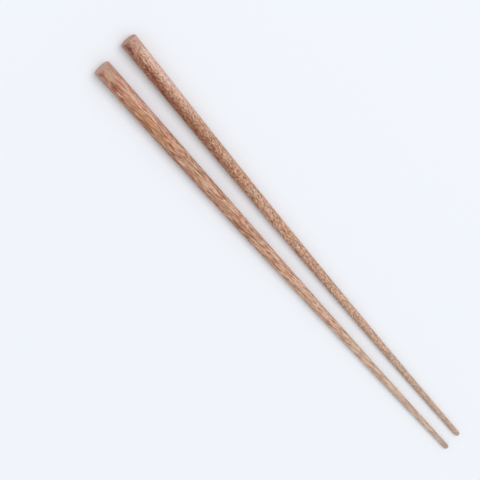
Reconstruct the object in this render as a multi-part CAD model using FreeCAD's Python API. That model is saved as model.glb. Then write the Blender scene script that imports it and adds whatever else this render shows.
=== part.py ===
import FreeCAD, Part
import math
import os

# A pair of long wooden chopsticks for cooking and serving. Each one is turned from a single
# piece of hardwood, thick at the butt and fine at the tip, and has warped a little sideways
# since it was made. They lie side by side on a flat surface with their tips drawn together.
# X runs from the butts to the tips, Y across the pair from the lower chopstick to the upper
# one, and Z up. The origin is on the surface, in the middle of what the pair covers.
# All sizes are in millimetres.

# Sizes that both chopsticks have
LENGTH = 300.0
BUTT_EDGE_ROUNDING = 0.7
TIP_FLAT_DIAMETER = 0.5

# How the pair lies: the spacings are between the two centre lines, and the lower chopstick
# lies this much nearer to the tips' end than the upper one
BUTT_SPACING = 19.8
TIP_SPACING = 9.6
LOWER_LEAD = 1.5

# Turned diameters of the lower chopstick, and how far it has bowed towards -Y
LOWER_BUTT_DIAMETER = 9.8
LOWER_THIRD_DIAMETER = 7.9
LOWER_TWO_THIRDS_DIAMETER = 5.3
LOWER_TIP_DIAMETER = 2.8
LOWER_BOW = 0.9

# Turned diameters of the upper chopstick, and how far it has bowed towards -Y
UPPER_BUTT_DIAMETER = 9.5
UPPER_THIRD_DIAMETER = 7.1
UPPER_TWO_THIRDS_DIAMETER = 4.85
UPPER_TIP_DIAMETER = 2.9
UPPER_BOW = 1.4

# The curved taper and the bow are made of this many short straight cones, end to end, which
# keeps them within 0.01 mm of the smooth curves
CONES = 15

# Which way each chopstick lies from the middle of the pair
LOWER_SIDE = -1
UPPER_SIDE = 1

ORIGIN = FreeCAD.Vector(0, 0, 0)
Y_AXIS = FreeCAD.Vector(0, 1, 0)
Z_AXIS = FreeCAD.Vector(0, 0, 1)


def box_of(shape):
    """The exact box round a shape, with no allowance for its triangles or tolerance."""
    return shape.optimalBoundingBox(False, False)


def turned_diameter(share, diameters):
    """Diameter at a share of the way from butt to tip, on the smooth curve through the turned
    diameters, which are evenly spaced."""
    spans = len(diameters) - 1
    total = 0.0
    for i, diameter in enumerate(diameters):
        others = [j for j in range(len(diameters)) if j != i]
        total += diameter * math.prod((share * spans - j) / (i - j) for j in others)
    return total


def centre_line(share, bow):
    """Point and direction on the bowed centre line, a shallow parabola, at a share of the way
    from butt to tip."""
    from_middle = 2 * share - 1
    point = FreeCAD.Vector(from_middle * LENGTH / 2, bow * (from_middle**2 - 1), 0)
    direction = FreeCAD.Vector(LENGTH, 4 * bow * from_middle, 0)
    return point, direction


def end_edge(stick, share, bow):
    """The round edge of the flat end at the butt, share 0, or at the tip, share 1."""
    point, _ = centre_line(share, bow)
    flats = [face for face in stick.Faces if isinstance(face.Surface, Part.Plane)]
    nearest = min(flats, key=lambda face: face.CenterOfMass.distanceToPoint(point))
    return nearest.Edges[0]


def turned_stick(diameters, bow):
    """One chopstick, with the butt's edge sanded and the tip rounded down to a small flat."""
    rings = []
    for i in range(CONES + 1):
        share = i / CONES
        point, direction = centre_line(share, bow)
        circle = Part.Circle(point, direction, turned_diameter(share, diameters) / 2)
        circle.XAxis = Z_AXIS
        rings.append(Part.Wire(circle.toShape()))
    stick = Part.makeLoft(rings, True, True)
    stick = stick.makeFillet(BUTT_EDGE_ROUNDING, [end_edge(stick, 0, bow)])
    tip_rounding = (diameters[-1] - TIP_FLAT_DIAMETER) / 2
    return stick.makeFillet(tip_rounding, [end_edge(stick, 1, bow)]).Solids[0]


def laid_down(stick, diameters, side):
    """Lays a chopstick on the surface, on its own side of the pair, turned to the other's tip."""
    tilt = math.degrees(math.asin((diameters[0] - diameters[-1]) / 2 / LENGTH))
    turn = math.degrees(math.asin((BUTT_SPACING - TIP_SPACING) / 2 / LENGTH))
    stick.rotate(ORIGIN, Y_AXIS, tilt)
    stick.rotate(ORIGIN, Z_AXIS, -side * turn)
    lengthwise = -side * LOWER_LEAD / 2
    sideways = side * (BUTT_SPACING + TIP_SPACING) / 4
    stick.translate(FreeCAD.Vector(lengthwise, sideways, -box_of(stick).ZMin))
    return stick


lower_diameters = (
    LOWER_BUTT_DIAMETER,
    LOWER_THIRD_DIAMETER,
    LOWER_TWO_THIRDS_DIAMETER,
    LOWER_TIP_DIAMETER,
)
upper_diameters = (
    UPPER_BUTT_DIAMETER,
    UPPER_THIRD_DIAMETER,
    UPPER_TWO_THIRDS_DIAMETER,
    UPPER_TIP_DIAMETER,
)
chopsticks = {
    "lower_chopstick": laid_down(turned_stick(lower_diameters, LOWER_BOW), lower_diameters, LOWER_SIDE),
    "upper_chopstick": laid_down(turned_stick(upper_diameters, UPPER_BOW), upper_diameters, UPPER_SIDE),
}

# The origin comes to the middle of what the pair covers
middle = box_of(Part.makeCompound(list(chopsticks.values()))).Center
for stick in chopsticks.values():
    stick.translate(FreeCAD.Vector(-middle.x, -middle.y, 0))

os.makedirs("parts", exist_ok=True)
for name, stick in chopsticks.items():
    stick.exportStep(f"parts/{name}.step")
    box = box_of(stick)
    print(name, "valid", stick.isValid(), "volume", round(stick.Volume, 1))
    print("  from", [round(v, 3) for v in (box.XMin, box.YMin, box.ZMin)])
    print("  to", [round(v, 3) for v in (box.XMax, box.YMax, box.ZMax)])
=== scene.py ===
# %% [markdown]
# A pair of long wooden chopsticks, the kind used for cooking and for serving from a shared pot.
# Each one is a single piece of brown open-pored hardwood: turned round, sanded fine, and wiped
# with a thin oil. There is nothing else on them, so all of the work goes into two things: a
# true turned form, and wood that looks as if it grew.
#
# This first cell loads the engineering model. Its two solids are the frame of the whole scene:
# everything that follows is measured from them, so that nothing has to be fitted afterwards.

import math
from typing import NamedTuple

import bpy
import numpy as np
from mathutils import Matrix, Vector


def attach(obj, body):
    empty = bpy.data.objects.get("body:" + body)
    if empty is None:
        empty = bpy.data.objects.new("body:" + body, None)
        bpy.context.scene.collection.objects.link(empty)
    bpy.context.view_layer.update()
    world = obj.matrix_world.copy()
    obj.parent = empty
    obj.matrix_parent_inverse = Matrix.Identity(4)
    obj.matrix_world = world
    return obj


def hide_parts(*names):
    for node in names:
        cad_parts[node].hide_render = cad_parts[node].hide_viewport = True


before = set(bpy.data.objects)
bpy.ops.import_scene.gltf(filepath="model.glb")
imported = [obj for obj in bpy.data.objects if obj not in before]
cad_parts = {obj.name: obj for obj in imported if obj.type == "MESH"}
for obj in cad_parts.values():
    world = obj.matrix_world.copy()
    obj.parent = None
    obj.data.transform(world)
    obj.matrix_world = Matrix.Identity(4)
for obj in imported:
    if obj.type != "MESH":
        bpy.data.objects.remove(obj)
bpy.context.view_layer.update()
MM = 0.001

# %% [markdown]
# Colours are given as sRGB hex values, the way a paint program shows them. Blender mixes
# light in linear values, so one function does the change, and every colour goes through it.

# %% Colours from sRGB hex to linear


def linear(hex_colour, alpha=1.0):
    """Linear colour, with alpha, of an sRGB hex value such as #c2a796."""
    shown = [int(hex_colour[i : i + 2], 16) / 255 for i in (1, 3, 5)]
    light = [c / 12.92 if c <= 0.04045 else ((c + 0.055) / 1.055) ** 2.4 for c in shown]
    return (*light, alpha)


print("a pale wood tone in linear light:", [round(c, 3) for c in linear("#c2a796")])

# %% [markdown]
# A material is a small network of nodes. One helper adds any node, sets its options and fills
# its inputs, either with a plain value or with a link from another node. A colour ramp also
# takes its stops here. The Mix node has one set of inputs for each type of data, so its colour
# inputs go by number.

# %% One helper for nodes

SHARE, BELOW, ABOVE, MIXED = 0, 6, 7, 2


def add_node(tree, kind, inputs=None, stops=None, **settings):
    """Adds a node with its settings, its values or links, and the stops of a ramp."""
    added = tree.nodes.new(kind)
    for setting, value in settings.items():
        setattr(added, setting, value)
    for socket, value in (inputs or {}).items():
        if isinstance(value, bpy.types.NodeSocket):
            tree.links.new(value, added.inputs[socket])
        else:
            added.inputs[socket].default_value = value
    for place, (position, colour) in enumerate(stops or []):
        steps = added.color_ramp.elements
        step = steps[place] if place < len(steps) else steps.new(position)
        step.position = position
        step.color = colour
    return added


print("a Mix node takes its share at input", SHARE, "and its colours at", BELOW, "and", ABOVE)

# %% [markdown]
# Every material here starts from an empty network, so that nothing is in it by default, and
# ends with one shader linked to its surface.

# %% Start and finish a material


def new_material(title):
    """A material with an empty network, apart from its output."""
    material = bpy.data.materials.new(title)
    material.use_nodes = True
    material.node_tree.nodes.remove(material.node_tree.nodes["Principled BSDF"])
    return material


def link_surface(material, shader):
    """Makes a shader the surface of a material."""
    output = material.node_tree.nodes["Material Output"]
    material.node_tree.links.new(shader.outputs[0], output.inputs["Surface"])


trial_material = new_material("trial")
print("nodes of a new material:", [node.name for node in trial_material.node_tree.nodes])
bpy.data.materials.remove(trial_material)

# %% [markdown]
# The turned form comes first. On the real stick, a blank is spun and shaved to a long slow
# taper that isn't a straight cone, and the finished stick warps a little as the wood dries.
# The solid holds both as a row of short cones, so the rings between them tell the centre line
# and the thickness at each step. A smooth curve through the rings gives them anywhere between:
# a cubic for the taper and a parabola for the bow. The rings of the two rounded ends are left
# out, because they would pull the curves inwards. The rings lie 20 mm apart, so a gap of more
# than 5 mm along the stick parts one ring from the next.

# %% Find the rings of a solid

RING_GAP_MM = 5.0
SAME_POINT_DECIMALS = 4


def solid_points(node):
    """The points of a solid in millimetres, each once, in order from the butt to the tip."""
    points = np.array([v.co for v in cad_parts[node].data.vertices]) / MM
    points = np.unique(points.round(SAME_POINT_DECIMALS), axis=0)
    return points[points[:, 0].argsort()]


def turned_rings(points):
    """The rings between the cones, without the two rounded ends."""
    gaps = np.nonzero(np.diff(points[:, 0]) > RING_GAP_MM)[0]
    return np.split(points, gaps + 1)[1:-1]


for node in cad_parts:
    print(node, "has", len(turned_rings(solid_points(node))), "rings between its ends")

# %% [markdown]
# From the rings come the stick's own axes and its two curves. X runs along the stick, Z is as
# nearly upright as it can be, and Y lies across. The centre line is given from the middle of
# the butt, so that it starts at nothing and shows only the bow.

# %% Measure the taper and the bow

TAPER_DEGREE = 3
BOW_DEGREE = 2


class TurnedForm:
    """The taper and the bow of one stick, read from the rings of its solid, in millimetres."""

    def __init__(self, node):
        points = solid_points(node)
        rings = turned_rings(points)
        centres = np.array([ring.mean(0) for ring in rings])
        radii = [np.linalg.norm(r - c, axis=1).mean() for r, c in zip(rings, centres)]

        along = centres[-1] - centres[0]
        along /= np.linalg.norm(along)
        upward = np.array([0.0, 0.0, 1.0])
        upward -= along * upward.dot(along)
        upward /= np.linalg.norm(upward)
        sideways = np.cross(upward, along)
        self.axes = np.array([along, sideways, upward]).T

        self.butt = (points @ along).min()
        self.length = (points @ along).max() - self.butt
        steps = centres @ along - self.butt
        self.radius = np.poly1d(np.polyfit(steps, radii, TAPER_DEGREE))
        offsets = [centres @ sideways, centres @ upward]
        self.bow = [np.poly1d(np.polyfit(steps, offset, BOW_DEGREE)) for offset in offsets]
        self.start = self.axes @ np.array([self.butt, self.bow[0](0.0), self.bow[1](0.0)])

    def centre(self, step):
        """How far the centre line lies across and up from the butt's middle, at a distance."""
        return [curve(step) - curve(0.0) for curve in self.bow]

    def placing(self):
        """The matrix that takes the stick's own coordinates to the frame's, in metres."""
        turned = Matrix(self.axes.tolist()).to_4x4()
        return Matrix.Translation(Vector(self.start * MM)) @ turned


lower_form = TurnedForm("lower_chopstick")
upper_form = TurnedForm("upper_chopstick")
for title, form in (("lower", lower_form), ("upper", upper_form)):
    thick = [2 * float(form.radius(share * form.length)) for share in (0, 1 / 3, 2 / 3, 1)]
    print(title, "length", round(form.length, 2), "mm, diameters", [round(d, 2) for d in thick])

# %% [markdown]
# A lathe profile is a line of points from the middle of the butt, out over its sanded edge,
# down the taper and round the tip. Spinning that line gives the stick. The two small roundings
# are quarter circles, as sandpaper leaves them when it is held to the spinning stick.

# %% The turning profile

BUTT_ROUNDING_MM = 0.7
TIP_FLAT_RADIUS_MM = 0.25
ROUNDING_STEPS = 8
BODY_STEP_MM = 0.6
# The rings on the butt's flat, as shares of its radius
FACE_RINGS = (0.25, 0.5, 0.75)


def turning_profile(form):
    """Pairs of distance from the butt and radius, from the butt's middle to the tip's."""
    butt, tip = form.radius(0.0), form.radius(form.length)
    quarter = np.linspace(0, math.pi / 2, ROUNDING_STEPS)
    face = [(0.0, (butt - BUTT_ROUNDING_MM) * share) for share in FACE_RINGS]
    shoulder = form.radius(BUTT_ROUNDING_MM)
    edge = [
        (
            BUTT_ROUNDING_MM * (1 - math.cos(turn)),
            shoulder - BUTT_ROUNDING_MM * (1 - math.sin(turn)),
        )
        for turn in quarter
    ]
    round_tip = tip - TIP_FLAT_RADIUS_MM
    first, last = BUTT_ROUNDING_MM, form.length - round_tip
    steps = np.linspace(first, last, round((last - first) / BODY_STEP_MM))
    body = [(step, form.radius(step)) for step in steps]
    neck = form.radius(last) - TIP_FLAT_RADIUS_MM
    nose = [
        (last + round_tip * math.sin(turn), TIP_FLAT_RADIUS_MM + neck * math.cos(turn))
        for turn in quarter[1:]
    ]
    return np.array(face + edge + body[1:] + nose)


profile = turning_profile(lower_form)
print("profile points", len(profile), "widest", round(profile[:, 1].max(), 3), "mm")

# %% [markdown]
# A sanded shape is never perfect. The radius gets a slow unevenness of a few
# hundredths of a millimetre, always inwards, so that the stick never grows past its solid. It
# is a sum of long waves with up to three lobes round the stick, drawn from a seed of its own for
# each stick. It is too small to see as a shape, but it breaks up the long highlight as real
# wood does.

# %% Unevenness left by sanding

AROUND = 128
SANDED_AWAY_MM = 0.05
LEAST_SANDED_MM = 0.01
SANDING_WAVES = 6
WAVE_LENGTHS_MM = (22, 90)
MOST_LOBES = 3
SANDING_SEEDS = {"lower": 11, "upper": 29}


def sanding_unevenness(stations, angles, draws):
    """How far the surface lies inside the true form, in millimetres, on a grid of points."""
    total = np.zeros((len(stations), len(angles)))
    for wave in range(SANDING_WAVES):
        wave_length = draws.uniform(*WAVE_LENGTHS_MM)
        phase = draws.uniform(0, 2 * math.pi, 2)
        lobes = min(wave, MOST_LOBES)
        along = np.sin(2 * math.pi * stations / wave_length + phase[0])[:, None]
        round_it = np.sin(lobes * angles + phase[1])[None, :]
        total += along * round_it
    return SANDED_AWAY_MM * (0.5 + 0.5 * total / SANDING_WAVES) + LEAST_SANDED_MM


turns = np.linspace(0, 2 * math.pi, AROUND, endpoint=False)
lost = sanding_unevenness(profile[:, 0], turns, np.random.default_rng(SANDING_SEEDS["lower"]))
print("the lower stick loses", round(lost.min(), 3), "to", round(lost.max(), 3), "mm")

# %% [markdown]
# Now the profile is spun into a mesh. Its points are worked out in the stick's own coordinates,
# with X running from the butt to the tip, because there every ring is a plain circle round the
# bowed centre line. The faces are four-sided all along, and only the two small middles of the
# ends are closed with fans of triangles.

# %% Points and faces of the surface


def surface_points(form, profile, draws):
    """The points of the surface ring by ring, then the middles of the butt and the tip."""
    stations, radii = profile.T
    angles = np.linspace(0, 2 * math.pi, AROUND, endpoint=False)
    lost = sanding_unevenness(stations, angles, draws)
    # The unevenness fades out towards the middles of the two ends
    lost *= np.clip(radii / form.radius(form.length), 0, 1)[:, None]
    radius = radii[:, None] - lost
    across, lift = form.centre(stations)
    x = np.repeat(stations, AROUND)
    y = (across[:, None] + radius * np.cos(angles)).ravel()
    z = (lift[:, None] + radius * np.sin(angles)).ravel()
    middles = [(stations[0], 0.0, 0.0), (stations[-1], across[-1], lift[-1])]
    return np.vstack([np.stack([x, y, z], 1), middles]) * MM


def surface_faces(rows):
    """Four-sided faces between the rings, and a fan of triangles over each end."""
    faces = []
    for row in range(rows - 1):
        here, there = row * AROUND, (row + 1) * AROUND
        for turn in range(AROUND):
            beside = (turn + 1) % AROUND
            faces.append((here + turn, there + turn, there + beside, here + beside))
    butt_middle, tip_middle = rows * AROUND, rows * AROUND + 1
    last = (rows - 1) * AROUND
    for turn in range(AROUND):
        beside = (turn + 1) % AROUND
        faces.append((butt_middle, turn, beside))
        faces.append((tip_middle, last + beside, last + turn))
    return faces


print("faces of the lower stick", len(surface_faces(len(profile))))

# %% [markdown]
# The UV map is for baking the finish to an image later. The long surface is cut into three
# strips, because one strip of 300 mm by 30 mm would waste most of a square image, and the two
# ends get small round islands of their own above the strips.

# %% Unwrap the surface

STRIPS = 3
STRIP_START = 0.005
STRIP_LENGTH = 0.99
STRIP_HEIGHT = 0.30
STRIP_GAP = 0.008
ISLAND_RADIUS = 0.028
BUTT_ISLAND = (0.04, 0.96)
TIP_ISLAND = (0.12, 0.96)


def unwrap(mesh, profile):
    """Lays the surface out in strips along the stick, and its two ends as small discs."""
    rows = len(profile)
    layer = mesh.uv_layers.new(name="OFBake")
    first_row = len(FACE_RINGS) + ROUNDING_STEPS // 2
    last_row = rows - ROUNDING_STEPS // 2
    cuts = np.linspace(first_row, last_row, STRIPS + 1).round().astype(int)
    for face in mesh.polygons:
        ring = [point // AROUND for point in face.vertices]
        turn = [point % AROUND for point in face.vertices]
        middle = [point >= rows * AROUND for point in face.vertices]
        # A face across the seam counts its far side one round further
        if max(turn) - min(turn) > AROUND / 2:
            turn = [t + AROUND if t < AROUND / 2 else t for t in turn]
        row = min(r for r, m in zip(ring, middle) if not m)
        strip = int(np.searchsorted(cuts, row, side="right")) - 1
        for loop, r, t, m in zip(face.loop_indices, ring, turn, middle):
            if first_row <= row < last_row:
                first, last = profile[cuts[strip], 0], profile[cuts[strip + 1], 0]
                u = STRIP_START + STRIP_LENGTH * (profile[r, 0] - first) / (last - first)
                v = STRIP_GAP + strip * (STRIP_HEIGHT + STRIP_GAP) + STRIP_HEIGHT * t / AROUND
            else:
                near_butt = row < first_row
                rim = profile[first_row if near_butt else last_row, 1]
                spread = 0.0 if m else ISLAND_RADIUS * profile[r, 1] / rim
                island = BUTT_ISLAND if near_butt else TIP_ISLAND
                u = island[0] + spread * math.cos(2 * math.pi * t / AROUND)
                v = island[1] + spread * math.sin(2 * math.pi * t / AROUND)
            layer.data[loop].uv = (u, v)


print("strips end at", round(STRIPS * (STRIP_HEIGHT + STRIP_GAP), 3), "of the image's height")

# %% [markdown]
# Both sticks are spun from their own forms, each with its own seed for the sanding, so no two
# sticks are worn alike. The flats of the ends are sanded back by two hundredths of a millimetre.
# One matrix moves each mesh to where its solid lies. At the end each piece is hung on the
# part's root, so that it rides with the part, and the solid that it stands for is hidden.

# %% Spin both sticks

END_SANDED_MM = 0.02


def turned_stick(title, form, seed):
    """One stick as a mesh object, placed where its solid lies."""
    profile = turning_profile(form)
    profile[:, 0] = np.clip(profile[:, 0], END_SANDED_MM, form.length - END_SANDED_MM)
    points = surface_points(form, profile, np.random.default_rng(seed))
    mesh = bpy.data.meshes.new(title)
    mesh.from_pydata(points.tolist(), [], surface_faces(len(profile)))
    mesh.transform(form.placing())
    mesh.shade_smooth()
    unwrap(mesh, profile)
    stick = bpy.data.objects.new(title, mesh)
    bpy.context.scene.collection.objects.link(stick)
    return stick


lower_stick = turned_stick("lower_chopstick_wood", lower_form, SANDING_SEEDS["lower"])
upper_stick = turned_stick("upper_chopstick_wood", upper_form, SANDING_SEEDS["upper"])
for stick, node in ((lower_stick, "lower_chopstick"), (upper_stick, "upper_chopstick")):
    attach(stick, "root")
    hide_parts(node)
    print(stick.name, "faces", len(stick.data.polygons))

# %% [markdown]
# The wood is one solid texture, not a picture wrapped round the stick. In the tree, thin darker
# and lighter layers lie one on another, and the lathe cuts a cylinder out of that stack. Where
# the layers run square to the surface they show as fine parallel lines, and where they lie
# flat in it they open into ovals and broken flecks. Building the layers in space gives both
# faces of the stick, its underside and its end grain, with no seam.
#
# The first step is the stick's own coordinates in millimetres: X from the butt, Y and Z across.

# %% Coordinates of one stick


def in_the_stick(tree, form):
    """Coordinates in millimetres from the middle of the butt, along and across the stick."""
    start, turned, _ = form.placing().decompose()
    metres = add_node(
        tree,
        "ShaderNodeMapping",
        {
            "Vector": add_node(tree, "ShaderNodeTexCoord").outputs["Object"],
            "Location": start,
            "Rotation": turned.to_euler(),
        },
        vector_type="TEXTURE",
    ).outputs[0]
    return add_node(
        tree, "ShaderNodeVectorMath", {0: metres, "Scale": 1 / MM}, operation="SCALE"
    ).outputs[0]


for title, form in (("lower", lower_form), ("upper", upper_form)):
    print(title, "stick starts at", form.start.round(2), "mm")

# %% [markdown]
# The fibres don't run quite along the stick. They lean a few degrees out of its axis, swing
# slowly from side to side, and ripple in short waves: the interlocked grain of tropical
# hardwoods. Each of these bends the coordinates a little before any pattern is drawn, so that
# all of the patterns bend together. The bends come from noises that are many fibres wide, so
# that neighbouring fibres stay side by side.

# %% Coordinates that follow the grain

MIDDLE_GREY = (0.5, 0.5, 0.5)
SWING_WIDTH = 16.0
RIPPLE_WIDTH = 3.5


def stretched_noise(tree, grain, length, width, start, detail=0.0):
    """A noise whose cells are this long and wide in millimetres, from its own start."""
    place = add_node(
        tree,
        "ShaderNodeMapping",
        {"Vector": grain, "Scale": (1 / length, 1 / width, 1 / width), "Location": start},
    ).outputs[0]
    return add_node(tree, "ShaderNodeTexNoise", {"Vector": place, "Scale": 1.0, "Detail": detail})


def rippled(tree, grain, length, width, reach, start):
    """Moves the fibres sideways by up to this reach, in waves of this length, in millimetres."""
    waves = stretched_noise(tree, grain, length, width, start).outputs["Color"]
    both_ways = add_node(
        tree, "ShaderNodeVectorMath", {0: waves, 1: MIDDLE_GREY}, operation="SUBTRACT"
    ).outputs[0]
    return add_node(
        tree,
        "ShaderNodeVectorMath",
        {0: both_ways, 1: (0.0, 2 * reach, 2 * reach), 2: grain},
        operation="MULTIPLY_ADD",
    ).outputs[0]


def along_the_grain(tree, place, look):
    """Coordinates in millimetres along and across the fibres."""
    lean = (0.0, math.radians(look["dip"]), math.radians(look["lean"]))
    fibres = add_node(tree, "ShaderNodeMapping", {"Vector": place, "Rotation": lean}).outputs[0]
    faced = add_node(
        tree,
        "ShaderNodeVectorRotate",
        {"Vector": fibres, "Angle": math.radians(look["layers_face"])},
        rotation_type="X_AXIS",
    ).outputs[0]
    log = look["log"]
    swung = rippled(tree, faced, look["swing_length"], SWING_WIDTH, look["swing"], log)
    return rippled(tree, swung, look["ripple_length"], RIPPLE_WIDTH, look["ripple"], log)


print("fibres swing together over", SWING_WIDTH, "mm and ripple together over", RIPPLE_WIDTH, "mm")

# %% [markdown]
# A noise alone is cloudy. The part of it between two limits is turned into a soft step, which
# gives it edges, and that makes a pattern.
#
# The growth layers are an uneven stack of dark and pale sheets: a one-dimensional noise along Z.
# The real ones lie a few tenths of a millimetre apart, too fine to show in a picture of the
# whole pair, so they are drawn about twice as far apart.

# %% Soft edges and growth layers

SOFT_LIMITS = (0.35, 0.65)
LAYER_SCALE = 2.0
LAYER_DETAIL = 1.0


def with_edges(tree, cloudy, low, high):
    """Gives a cloudy value soft edges: it comes to 0 at the low limit and to 1 at the high one."""
    limits = {"Value": cloudy, "From Min": low, "From Max": high}
    return add_node(
        tree, "ShaderNodeMapRange", limits, interpolation_type="SMOOTHSTEP"
    ).outputs[0]


def growth_layers(tree, grain, spacing):
    """How pale the growth layer is, from 0 to 1, for layers this far apart in millimetres."""
    height = add_node(tree, "ShaderNodeSeparateXYZ", {0: grain}).outputs["Z"]
    step = add_node(tree, "ShaderNodeMath", {0: height, 1: spacing}, operation="DIVIDE").outputs[0]
    stack = add_node(
        tree,
        "ShaderNodeTexNoise",
        {"W": step, "Scale": LAYER_SCALE, "Detail": LAYER_DETAIL},
        noise_dimensions="1D",
    ).outputs["Fac"]
    return with_edges(tree, stack, *SOFT_LIMITS)


print("a layer turns from dark to pale between", SOFT_LIMITS, "of its noise")

# %% [markdown]
# Each pattern is one thing that the eye finds in this wood, drawn with a stretched noise: long
# and narrow cells look like fibres, short ones like flecks and dashes. Flecks are the pale
# tissue that the layers open into, and fibres the fine lines between them. Dashes are rows of
# pores that run together into short dark strokes, wide enough to show in a picture. Single
# pores are drawn at their true width of 0.15 mm and show only close up. Patches are slow
# changes between a warmer and a duller brown, and clouds are slow changes from dark to pale.
#
# A look lists for each pattern the length and the width of its cells in millimetres and the
# limits of its soft step. Every pattern starts at its own place in the noise, so that no two
# line up. The fibres alone get a second, finer layer of noise.

# %% The patterns of the wood

PATTERN_STARTS = {
    "flecks": (3.0, 8.0, 5.0),
    "fibres": (5.0, 1.0, 2.0),
    "dashes": (7.0, 2.0, 9.0),
    "pores": (2.0, 9.0, 4.0),
    "patches": (1.0, 4.0, 6.0),
    "clouds": (8.0, 3.0, 1.0),
}
FINE_DETAIL = {"fibres": 1.0}


def wood_patterns(tree, grain, look):
    """Every pattern of the wood by its name, each from 0 to 1."""
    patterns = {"layers": growth_layers(tree, grain, look["layer_spacing"])}
    for name, start in PATTERN_STARTS.items():
        length, width, low, high = look[name]
        detail = FINE_DETAIL.get(name, 0.0)
        cells = stretched_noise(tree, grain, length, width, start, detail)
        patterns[name] = with_edges(tree, cells.outputs["Fac"], low, high)
    return patterns


print("patterns:", "layers,", ", ".join(PATTERN_STARTS))

# %% [markdown]
# The patterns are added up to one tone, from 0 for the darkest pore to 1 for the palest fibre,
# and a colour ramp of five browns turns the tone to a colour. More colours are laid over it one
# after another, each in its own places. A coat either covers the brown below or multiplies it,
# which only tints it, as a stain does.

# %% From patterns to browns

BROWNS = 5
TONE_STEP = 1 / (BROWNS - 1)


def added_up(tree, weighted, plain):
    """Pairs of a pattern and its strength, added to a plain tone."""
    tone = plain
    for pattern, strength in weighted:
        tone = add_node(
            tree, "ShaderNodeMath", {0: pattern, 1: strength, 2: tone}, operation="MULTIPLY_ADD"
        ).outputs[0]
    return tone


def brown_of(tree, tone, browns):
    """The colour of a tone, on a ramp of five browns from dark to pale."""
    stops = [(TONE_STEP * place, linear(brown)) for place, brown in enumerate(browns)]
    return add_node(tree, "ShaderNodeValToRGB", {0: tone}, stops=stops).outputs[0]


def laid_over(tree, brown, coats):
    """Lays coats over a brown, each given by its share, its colour and the way it blends."""
    for share, coat, blend in coats:
        brown = add_node(
            tree,
            "ShaderNodeMix",
            {SHARE: share, BELOW: brown, ABOVE: coat},
            data_type="RGBA",
            blend_type=blend,
        ).outputs[MIXED]
    return brown


print("the browns of a ramp stand at the tones", [TONE_STEP * place for place in range(BROWNS)])

# %% [markdown]
# Here and there one growth layer just touches the surface, and shows as an oval or a streak of
# its own. The eye finds the largest of these first, so they are placed one by one: small ones near
# the butts, where the sticks are thickest. Long ones down the flanks are painted light and shade:
# paler ones on the flank towards the lamp are a painted highlight, and darker ones on the other
# flank are painted shade. Each mark says how far its middle is from the butt, how far round from
# the top of the stick, how long and wide it is, how much paler the wood is there, and the tint
# that it takes on. A tint multiplies the brown below it, so white would leave the wood alone.
# Turns are in degrees, positive towards the side where Y grows, and sizes are in millimetres.
#
# A mark is an ellipsoid in the solid wood. It is full up to its core and gone past its edge, which
# are given as shares of its half size. The edge is bent by short waves and feathered by the
# fibres, so that it frays along the grain as a real layer does where it runs out.

# %% Marks where one layer touches the surface, and painted light and shade

EDGE_WAVE_LENGTH = 3.0
EDGE_WAVE_WIDTH = 1.0
EDGE_WAVE_REACH = 0.5
EDGE_WAVE_START = (4.0, 7.0, 2.0)
EDGE_FEATHER = 0.7
MARK_CORE = 0.7
MARK_EDGE = 1.6


class Mark(NamedTuple):
    """One place where a growth layer shows on the surface; long ones on the flanks are painted
    highlight and shade.
    """

    from_butt: float
    turn: float
    length: float
    width: float
    paler: float
    tint: str


def mark_middle(form, mark):
    """The middle of a mark on the surface, in the stick's own millimetres."""
    radius = form.radius(mark.from_butt)
    turn = math.radians(mark.turn)
    across, lift = form.centre(mark.from_butt)
    return mark.from_butt, across + radius * math.sin(turn), lift + radius * math.cos(turn)


def mark_depths(tree, place, form, fibres, marks):
    """For each mark, how deep in it a point is, from 0 outside to 1 in its middle."""
    wave = (EDGE_WAVE_LENGTH, EDGE_WAVE_WIDTH, EDGE_WAVE_REACH, EDGE_WAVE_START)
    wavy = rippled(tree, place, *wave)
    depths = []
    for mark in marks:
        size = (2 / mark.length, 2 / mark.width, 2 / mark.width)
        middle = [-scale * spot for scale, spot in zip(size, mark_middle(form, mark))]
        reach = add_node(
            tree, "ShaderNodeMapping", {"Vector": wavy, "Scale": size, "Location": middle}
        ).outputs[0]
        distance = add_node(tree, "ShaderNodeVectorMath", {0: reach}, operation="LENGTH")
        feathered = added_up(tree, [(fibres, EDGE_FEATHER)], distance.outputs["Value"])
        # The limits run inwards here, from 0 at the edge to 1 at the core
        depths.append(with_edges(tree, feathered, MARK_EDGE, MARK_CORE))
    return depths


side_mark = Mark(from_butt=30.0, turn=90.0, length=8.0, width=3.0, paler=0.1, tint="#ffffff")
side_middle = [round(float(v), 2) for v in mark_middle(lower_form, side_mark)]
print("a mark on the side, 30 mm from the butt, has its middle at", side_middle)

# %% [markdown]
# All round the stick the lathe has cut along the fibres, which a woodworker calls side grain. Its
# tone starts from the patterns, centred so that they add as much as they take away. Down the
# stick the streaks get clearer, as the photo shows them. The wood also gets slowly paler towards
# the tip, and each mark shifts the tone a little.

# %% The tone of the side grain

CLEARER_MM = (20.0, 260.0)


def down_the_stick(tree, from_butt, distances, values, curve="SMOOTHSTEP"):
    """Goes from one value to another between two distances from the butt, in millimetres."""
    limits = {
        "Value": from_butt,
        "From Min": distances[0],
        "From Max": distances[1],
        "To Min": values[0],
        "To Max": values[1],
    }
    return add_node(tree, "ShaderNodeMapRange", limits, interpolation_type=curve).outputs[0]


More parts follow.
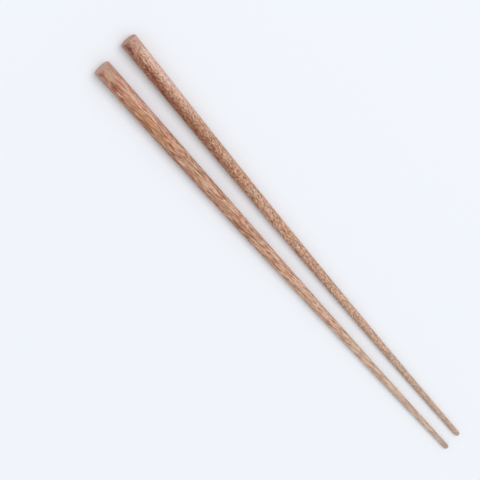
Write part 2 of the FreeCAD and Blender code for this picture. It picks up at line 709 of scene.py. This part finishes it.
def side_grain_tone(tree, form, from_butt, patterns, depths, look):
    """How pale the side grain is, from 0 to 1."""
    streaks = [(patterns[name], strength) for name, strength in look["pale_and_dark"].items()]
    holes = [(patterns[name], -strength) for name, strength in look["dark_only"].items()]
    centring = -sum(look["pale_and_dark"].values()) / 2
    plain_streaks = added_up(tree, streaks + holes, centring)
    clearer = down_the_stick(tree, from_butt, CLEARER_MM, (1.0, look["clearer"]), "LINEAR")
    clear_streaks = add_node(
        tree, "ShaderNodeMath", {0: plain_streaks, 1: clearer}, operation="MULTIPLY"
    ).outputs[0]
    slope = (from_butt, look["paler_by_tip"] / form.length)
    shifts = [(depth, mark.paler) for depth, mark in zip(depths, look["marks"])]
    return added_up(tree, [(clear_streaks, 1.0), slope] + shifts, look["tone"])


print("the streaks grow clearer from", CLEARER_MM[0], "to", CLEARER_MM[1], "mm from the butt")

# %% [markdown]
# The colour of the side grain is a patchwork of two ramps, a warmer and a duller one. Two more
# browns are laid over it without streaks of their own: a greyer one that comes in slowly towards
# the thin end, where washing has bleached the wood, and a smooth one in the first millimetres
# at the butt, where use has rubbed the grain blunt. The tints of the marks come last.

# %% The browns of the side grain

GREYER_FROM_MM = 120.0
WORN_MM = (3.0, 9.0)


def side_grain_browns(tree, form, from_butt, tone, patterns, depths, look):
    """The colour of the side grain."""
    warm = brown_of(tree, tone, look["warm_browns"])
    dull = brown_of(tree, tone, look["dull_browns"])
    thin_end = (GREYER_FROM_MM, form.length)
    greyer = down_the_stick(tree, from_butt, thin_end, (0.0, look["greyer_tip"]))
    worn = down_the_stick(tree, from_butt, WORN_MM, (look["worn_butt"], 0.0))
    coats = [
        (patterns["patches"], dull, "MIX"),
        (greyer, linear(look["tip_brown"]), "MIX"),
        (worn, linear(look["butt_brown"]), "MIX"),
    ]
    tints = [(depth, linear(mark.tint), "MULTIPLY") for depth, mark in zip(depths, look["marks"])]
    return laid_over(tree, warm, coats + tints)


print("worn smooth up to", WORN_MM[1], "mm from the butt, greyer from", GREYER_FROM_MM, "mm on")

# %% [markdown]
# End grain is the same wood cut across. The layers show as lines, the fibres and the pores as
# dots, and the cut fibres drink more oil and scatter more light, so the contrast is lower and
# the brown greyer. It covers the flat of the butt and the very end of the tip.

# %% The end grain

END_GRAIN_TONE = 0.45
END_GRAIN_CONTRAST = {"layers": 0.2, "fibres": 0.15, "dashes": -0.15, "pores": -0.25}
BUTT_FACE_MM = (0.1, 0.45)
TIP_FACE_MM = (0.9, 0.4)


def with_end_grain(tree, form, from_butt, side_grain, patterns, look):
    """The colour of the side grain, with the end grain on both ends."""
    cut = [(patterns[name], strength) for name, strength in END_GRAIN_CONTRAST.items()]
    end_grain = brown_of(tree, added_up(tree, cut, END_GRAIN_TONE), look["end_grain"])
    tip_face = [form.length - from_tip for from_tip in TIP_FACE_MM]
    butt = down_the_stick(tree, from_butt, BUTT_FACE_MM, (1.0, 0.0))
    tip = down_the_stick(tree, from_butt, tip_face, (0.0, 1.0))
    ends = add_node(tree, "ShaderNodeMath", {0: butt, 1: tip}, operation="ADD").outputs[0]
    return laid_over(tree, side_grain, [(ends, end_grain, "MIX")])


print("end grain on the first", BUTT_FACE_MM[1], "mm and on the last", TIP_FACE_MM[0], "mm")

# %% [markdown]
# The finish of both sticks is the same: hardwood turned, fine-sanded and wiped with oil. The
# sanded surface scatters light softly, and the oil gives it a satin sheen at low angles: the
# roughness is a little over 0.4, and the IOR is that of oil and cellulose. The open pores are
# rougher and a few hundredths of a millimetre deep, which a bump is enough to show.

# %% The turned and oiled hardwood

SATIN_ROUGHNESS = 0.42
PORE_ROUGHNESS = 0.57
WOOD_IOR = 1.5
PORE_DEPTH_MM = 0.03
PORE_BUMP = 0.6


def turned_oiled_hardwood(title, form, look):
    """Open-pored brown hardwood, turned, fine-sanded and oiled."""
    material = new_material(title)
    tree = material.node_tree
    place = in_the_stick(tree, form)
    from_butt = add_node(tree, "ShaderNodeSeparateXYZ", {0: place}).outputs["X"]
    patterns = wood_patterns(tree, along_the_grain(tree, place, look), look)
    depths = mark_depths(tree, place, form, patterns["fibres"], look["marks"])
    tone = side_grain_tone(tree, form, from_butt, patterns, depths, look)
    side_grain = side_grain_browns(tree, form, from_butt, tone, patterns, depths, look)
    brown = with_end_grain(tree, form, from_butt, side_grain, patterns, look)
    rough = add_node(
        tree,
        "ShaderNodeMapRange",
        {"Value": patterns["pores"], "To Min": SATIN_ROUGHNESS, "To Max": PORE_ROUGHNESS},
        interpolation_type="SMOOTHSTEP",
    ).outputs[0]
    sunken = add_node(
        tree,
        "ShaderNodeBump",
        {"Height": patterns["pores"], "Distance": PORE_DEPTH_MM * MM, "Strength": PORE_BUMP},
        invert=True,
    ).outputs[0]
    shader = add_node(
        tree,
        "ShaderNodeBsdfPrincipled",
        {"Base Color": brown, "Roughness": rough, "IOR": WOOD_IOR, "Normal": sunken},
    )
    link_surface(material, shader)
    return material


print("roughness", SATIN_ROUGHNESS, "on the oiled surface and", PORE_ROUGHNESS, "in a pore")

# %% [markdown]
# Each stick came from its own blank, so each has its own look. The lower one was cut with its
# layers standing on edge: long fine lines run down it at a slight slant, over a brown that
# changes between warm and dull. The marks at its butt are the red and brown ovals that the eye
# goes to first. Long paler bands down the flank that faces the upper stick and the lamp are a
# painted highlight, and a darker band down the other flank is painted shade.
#
# Lengths, widths and spacings are in millimetres, and angles in degrees. The log is the place in
# the noise that the blank was cut from. Tones and contrasts are shares of the ramp.

# %% How the lower stick looks

lower_look = {
    "log": (2.0, 5.0, 1.0),
    "layers_face": 78.0,
    "lean": -5.0,
    "dip": 1.0,
    "swing": 0.6,
    "swing_length": 55.0,
    "ripple": 0.12,
    "ripple_length": 9.0,
    "layer_spacing": 1.2,
    "flecks": (10.0, 0.5, 0.3, 0.7),
    "fibres": (8.0, 0.25, 0.3, 0.7),
    "dashes": (4.5, 0.32, 0.57, 0.67),
    "pores": (2.5, 0.15, 0.62, 0.67),
    "patches": (6.0, 2.2, 0.36, 0.61),
    "clouds": (7.0, 2.0, 0.35, 0.65),
    "pale_and_dark": {"layers": 0.24, "flecks": 0.44, "fibres": 0.38, "clouds": 0.08},
    "dark_only": {"dashes": 0.42, "pores": 0.35},
    "tone": 0.6,
    "clearer": 1.35,
    "paler_by_tip": 0.18,
    "greyer_tip": 0.45,
    "worn_butt": 0.6,
    "marks": (
        Mark(2.4, -25.0, 3.6, 2.6, 0.0, "#e6a494"),
        # A dark streak beside the red spot, on the side away from the lamp: painted shade
        Mark(1.9, -41.0, 3.6, 1.4, 0.0, "#b08c7c"),
        Mark(5.8, -30.0, 5.0, 4.2, 0.0, "#f0dac6"),
        Mark(11.4, -22.0, 7.6, 5.0, -0.12, "#f2dcd4"),
        Mark(13.4, -40.0, 4.4, 2.8, 0.06, "#ecb0a4"),
        Mark(12.3, 17.0, 6.4, 2.8, 0.06, "#f6dcd8"),
        Mark(19.3, -37.0, 3.0, 1.8, -0.08, "#de969a"),
        Mark(40.0, -7.0, 50.0, 6.0, -0.05, "#f8e8cc"),
        # Paler bands down the flank towards the lamp: painted highlight
        Mark(30.0, 41.0, 62.0, 4.6, 0.26, "#f8eefa"),
        Mark(150.0, 50.0, 120.0, 3.4, 0.2, "#fffafa"),
        # A darker band down the flank away from the lamp: painted shade
        Mark(80.0, -57.0, 180.0, 4.0, -0.14, "#f0e6e2"),
        Mark(232.0, 0.0, 140.0, 9.0, 0.14, "#fffefa"),
        Mark(300.0, 0.0, 18.0, 9.0, -0.2, "#eceef0"),
    ),
    "warm_browns": ("#723c25", "#a16749", "#bf8a6b", "#d29f82", "#e5bda4"),
    "dull_browns": ("#6c402b", "#9b6b4f", "#b98e71", "#cca388", "#dfc1aa"),
    "end_grain": ("#644636", "#8d6b55", "#b28e78", "#c4a38e", "#d3bba9"),
    "tip_brown": "#c0b6ac",
    "butt_brown": "#b4917e",
}
lower_stick.data.materials.append(
    turned_oiled_hardwood("lower_turned_oiled_hardwood", lower_form, lower_look)
)
print("lower stick:", len(lower_look["marks"]), "marks")

# %% [markdown]
# The upper stick was cut with its layers lying slantwise, from a redder blank with a wavier
# grain. Its flecks are short and ripple, so it looks speckled. A darker band is painted down the
# flank that faces the lower stick, as shade, and a pinkish pale one down the other, towards the
# lamp, as a highlight.

# %% How the upper stick looks

upper_look = {
    "log": (9.0, 1.0, 4.0),
    "layers_face": -60.0,
    "lean": 4.0,
    "dip": 2.0,
    "swing": 1.2,
    "swing_length": 40.0,
    "ripple": 0.45,
    "ripple_length": 3.2,
    "layer_spacing": 1.0,
    "flecks": (1.4, 0.5, 0.3, 0.7),
    "fibres": (2.4, 0.25, 0.3, 0.7),
    "dashes": (2.2, 0.34, 0.56, 0.66),
    "pores": (2.5, 0.15, 0.62, 0.67),
    "patches": (4.0, 2.0, 0.4, 0.65),
    "clouds": (7.0, 2.0, 0.35, 0.65),
    "pale_and_dark": {"layers": 0.16, "flecks": 0.38, "fibres": 0.22, "clouds": 0.08},
    "dark_only": {"dashes": 0.25, "pores": 0.35},
    "tone": 0.64,
    "clearer": 1.1,
    "paler_by_tip": 0.08,
    "greyer_tip": 0.4,
    "worn_butt": 0.5,
    "marks": (
        Mark(3.4, -30.0, 5.8, 3.0, 0.0, "#b88478"),
        # A darker band down the flank that faces the lower stick, away from the lamp: painted
        # shade
        Mark(45.0, -36.0, 130.0, 6.4, -0.13, "#dac2b4"),
        Mark(24.0, -21.0, 24.0, 2.2, -0.1, "#f0ccb8"),
        # A pinkish pale band down the flank towards the lamp: painted highlight
        Mark(24.0, 45.0, 60.0, 4.4, 0.4, "#f8f2ff"),
    ),
    "warm_browns": ("#60311c", "#925c40", "#b78566", "#d0a082", "#ebc6af"),
    "dull_browns": ("#5a3523", "#8c6047", "#b1896d", "#caa489", "#e5cab6"),
    "end_grain": ("#5c3f34", "#82604e", "#a67f69", "#b99581", "#ceb2a2"),
    "tip_brown": "#b6aa9c",
    "butt_brown": "#b08678",
}
upper_stick.data.materials.append(
    turned_oiled_hardwood("upper_turned_oiled_hardwood", upper_form, upper_look)
)
print("upper stick:", len(upper_look["marks"]), "marks")

# %% [markdown]
# The pair lies on a plain pale table: one large sheet with an ordinary matt surface, so the
# sticks' soft shadows fall on it, and their undersides get its light back.

# %% Floor

FLOOR_TONE = "#f2f6fc"
FLOOR_SIDE = 3.0

floor_mesh = bpy.data.meshes.new("pale_table")
half = FLOOR_SIDE / 2
floor_corners = [(-half, -half, 0), (half, -half, 0), (half, half, 0), (-half, half, 0)]
floor_mesh.from_pydata(floor_corners, [], [(0, 1, 2, 3)])
floor = bpy.data.objects.new("pale_table", floor_mesh)
bpy.context.scene.collection.objects.link(floor)
matt_board = new_material("matt_painted_board")
board = add_node(matt_board.node_tree, "ShaderNodeBsdfDiffuse", {"Color": linear(FLOOR_TONE)})
link_surface(matt_board, board)
floor_mesh.materials.append(matt_board)
print("floor", FLOOR_SIDE, "m wide")

# %% [markdown]
# The world does two things. It lights the pair from all sides with a plain white of its own
# strength, so that the wood keeps its colours. Where the camera or a reflection sees it as
# backdrop, it shows the table's pale tone instead, at a strength of 1.

# %% World

SKY_LIGHT = "#ffffff"
SKY_STRENGTH = 0.66
BACKDROP_STRENGTH = 1.0

world = bpy.data.worlds.new("soft_studio")
world.use_nodes = True
bpy.context.scene.world = world
sky = world.node_tree
sky.nodes.clear()
ray = add_node(sky, "ShaderNodeLightPath")
seen = add_node(
    sky,
    "ShaderNodeMath",
    {0: ray.outputs["Is Camera Ray"], 1: ray.outputs["Is Glossy Ray"]},
    operation="MAXIMUM",
).outputs[0]
lit = add_node(
    sky, "ShaderNodeBackground", {"Color": linear(SKY_LIGHT), "Strength": SKY_STRENGTH}
)
shown = add_node(
    sky, "ShaderNodeBackground", {"Color": linear(FLOOR_TONE), "Strength": BACKDROP_STRENGTH}
)
both = add_node(sky, "ShaderNodeMixShader", {0: seen, 1: lit.outputs[0], 2: shown.outputs[0]})
add_node(sky, "ShaderNodeOutputWorld", {"Surface": both.outputs[0]})
print("sky strength", SKY_STRENGTH, "and backdrop strength", BACKDROP_STRENGTH)

# %% [markdown]
# One large soft lamp hangs nearly above the pair, a little towards the upper right of the
# picture, so each stick shades off evenly to its two edges and its shadow stays close under it.

# %% Lamp

SOFTBOX_PLACE = Vector((-0.4, 1.5, 4.0))
SOFTBOX_SIDE = 3.0
SOFTBOX_WATTS = 77.0

softbox_light = bpy.data.lights.new("softbox", "AREA")
softbox_light.shape = "SQUARE"
softbox_light.size = SOFTBOX_SIDE
softbox_light.energy = SOFTBOX_WATTS
softbox = bpy.data.objects.new("softbox", softbox_light)
bpy.context.scene.collection.objects.link(softbox)
softbox.location = SOFTBOX_PLACE
softbox.rotation_euler = (-SOFTBOX_PLACE).to_track_quat("-Z", "Y").to_euler()
print("softbox", round(SOFTBOX_PLACE.length, 2), "m from the pair")

# %% [markdown]
# The camera looks down on the pair with a long lens, so that the sticks keep their taper with
# hardly any perspective. It is tipped a little towards the butts, which shows their faces, and
# rolled so that the pair runs from the upper left of the picture to the lower right.

# %% Camera

LENS_MM = 135.0
CAMERA_DISTANCE = 0.97993
TIPPED = math.radians(18.472)
ROLLED = math.radians(48.613)
AIM = Vector((-0.026134, -0.015146, 0.0))

camera_data = bpy.data.cameras.new("camera")
camera_data.lens = LENS_MM
camera = bpy.data.objects.new("camera", camera_data)
bpy.context.scene.collection.objects.link(camera)
back = Vector((-math.sin(TIPPED), 0.0, math.cos(TIPPED)))
level = Vector((math.cos(TIPPED), 0.0, math.sin(TIPPED)))
away = Vector((0.0, 1.0, 0.0))
right = level * math.cos(ROLLED) + away * math.sin(ROLLED)
up = -level * math.sin(ROLLED) + away * math.cos(ROLLED)
facing = Matrix((right, up, back)).transposed().to_4x4()
camera.matrix_world = Matrix.Translation(AIM + back * CAMERA_DISTANCE) @ facing
bpy.context.scene.camera = camera
bpy.context.scene.view_settings.view_transform = "Standard"
print("camera at", [round(v, 3) for v in camera.location])
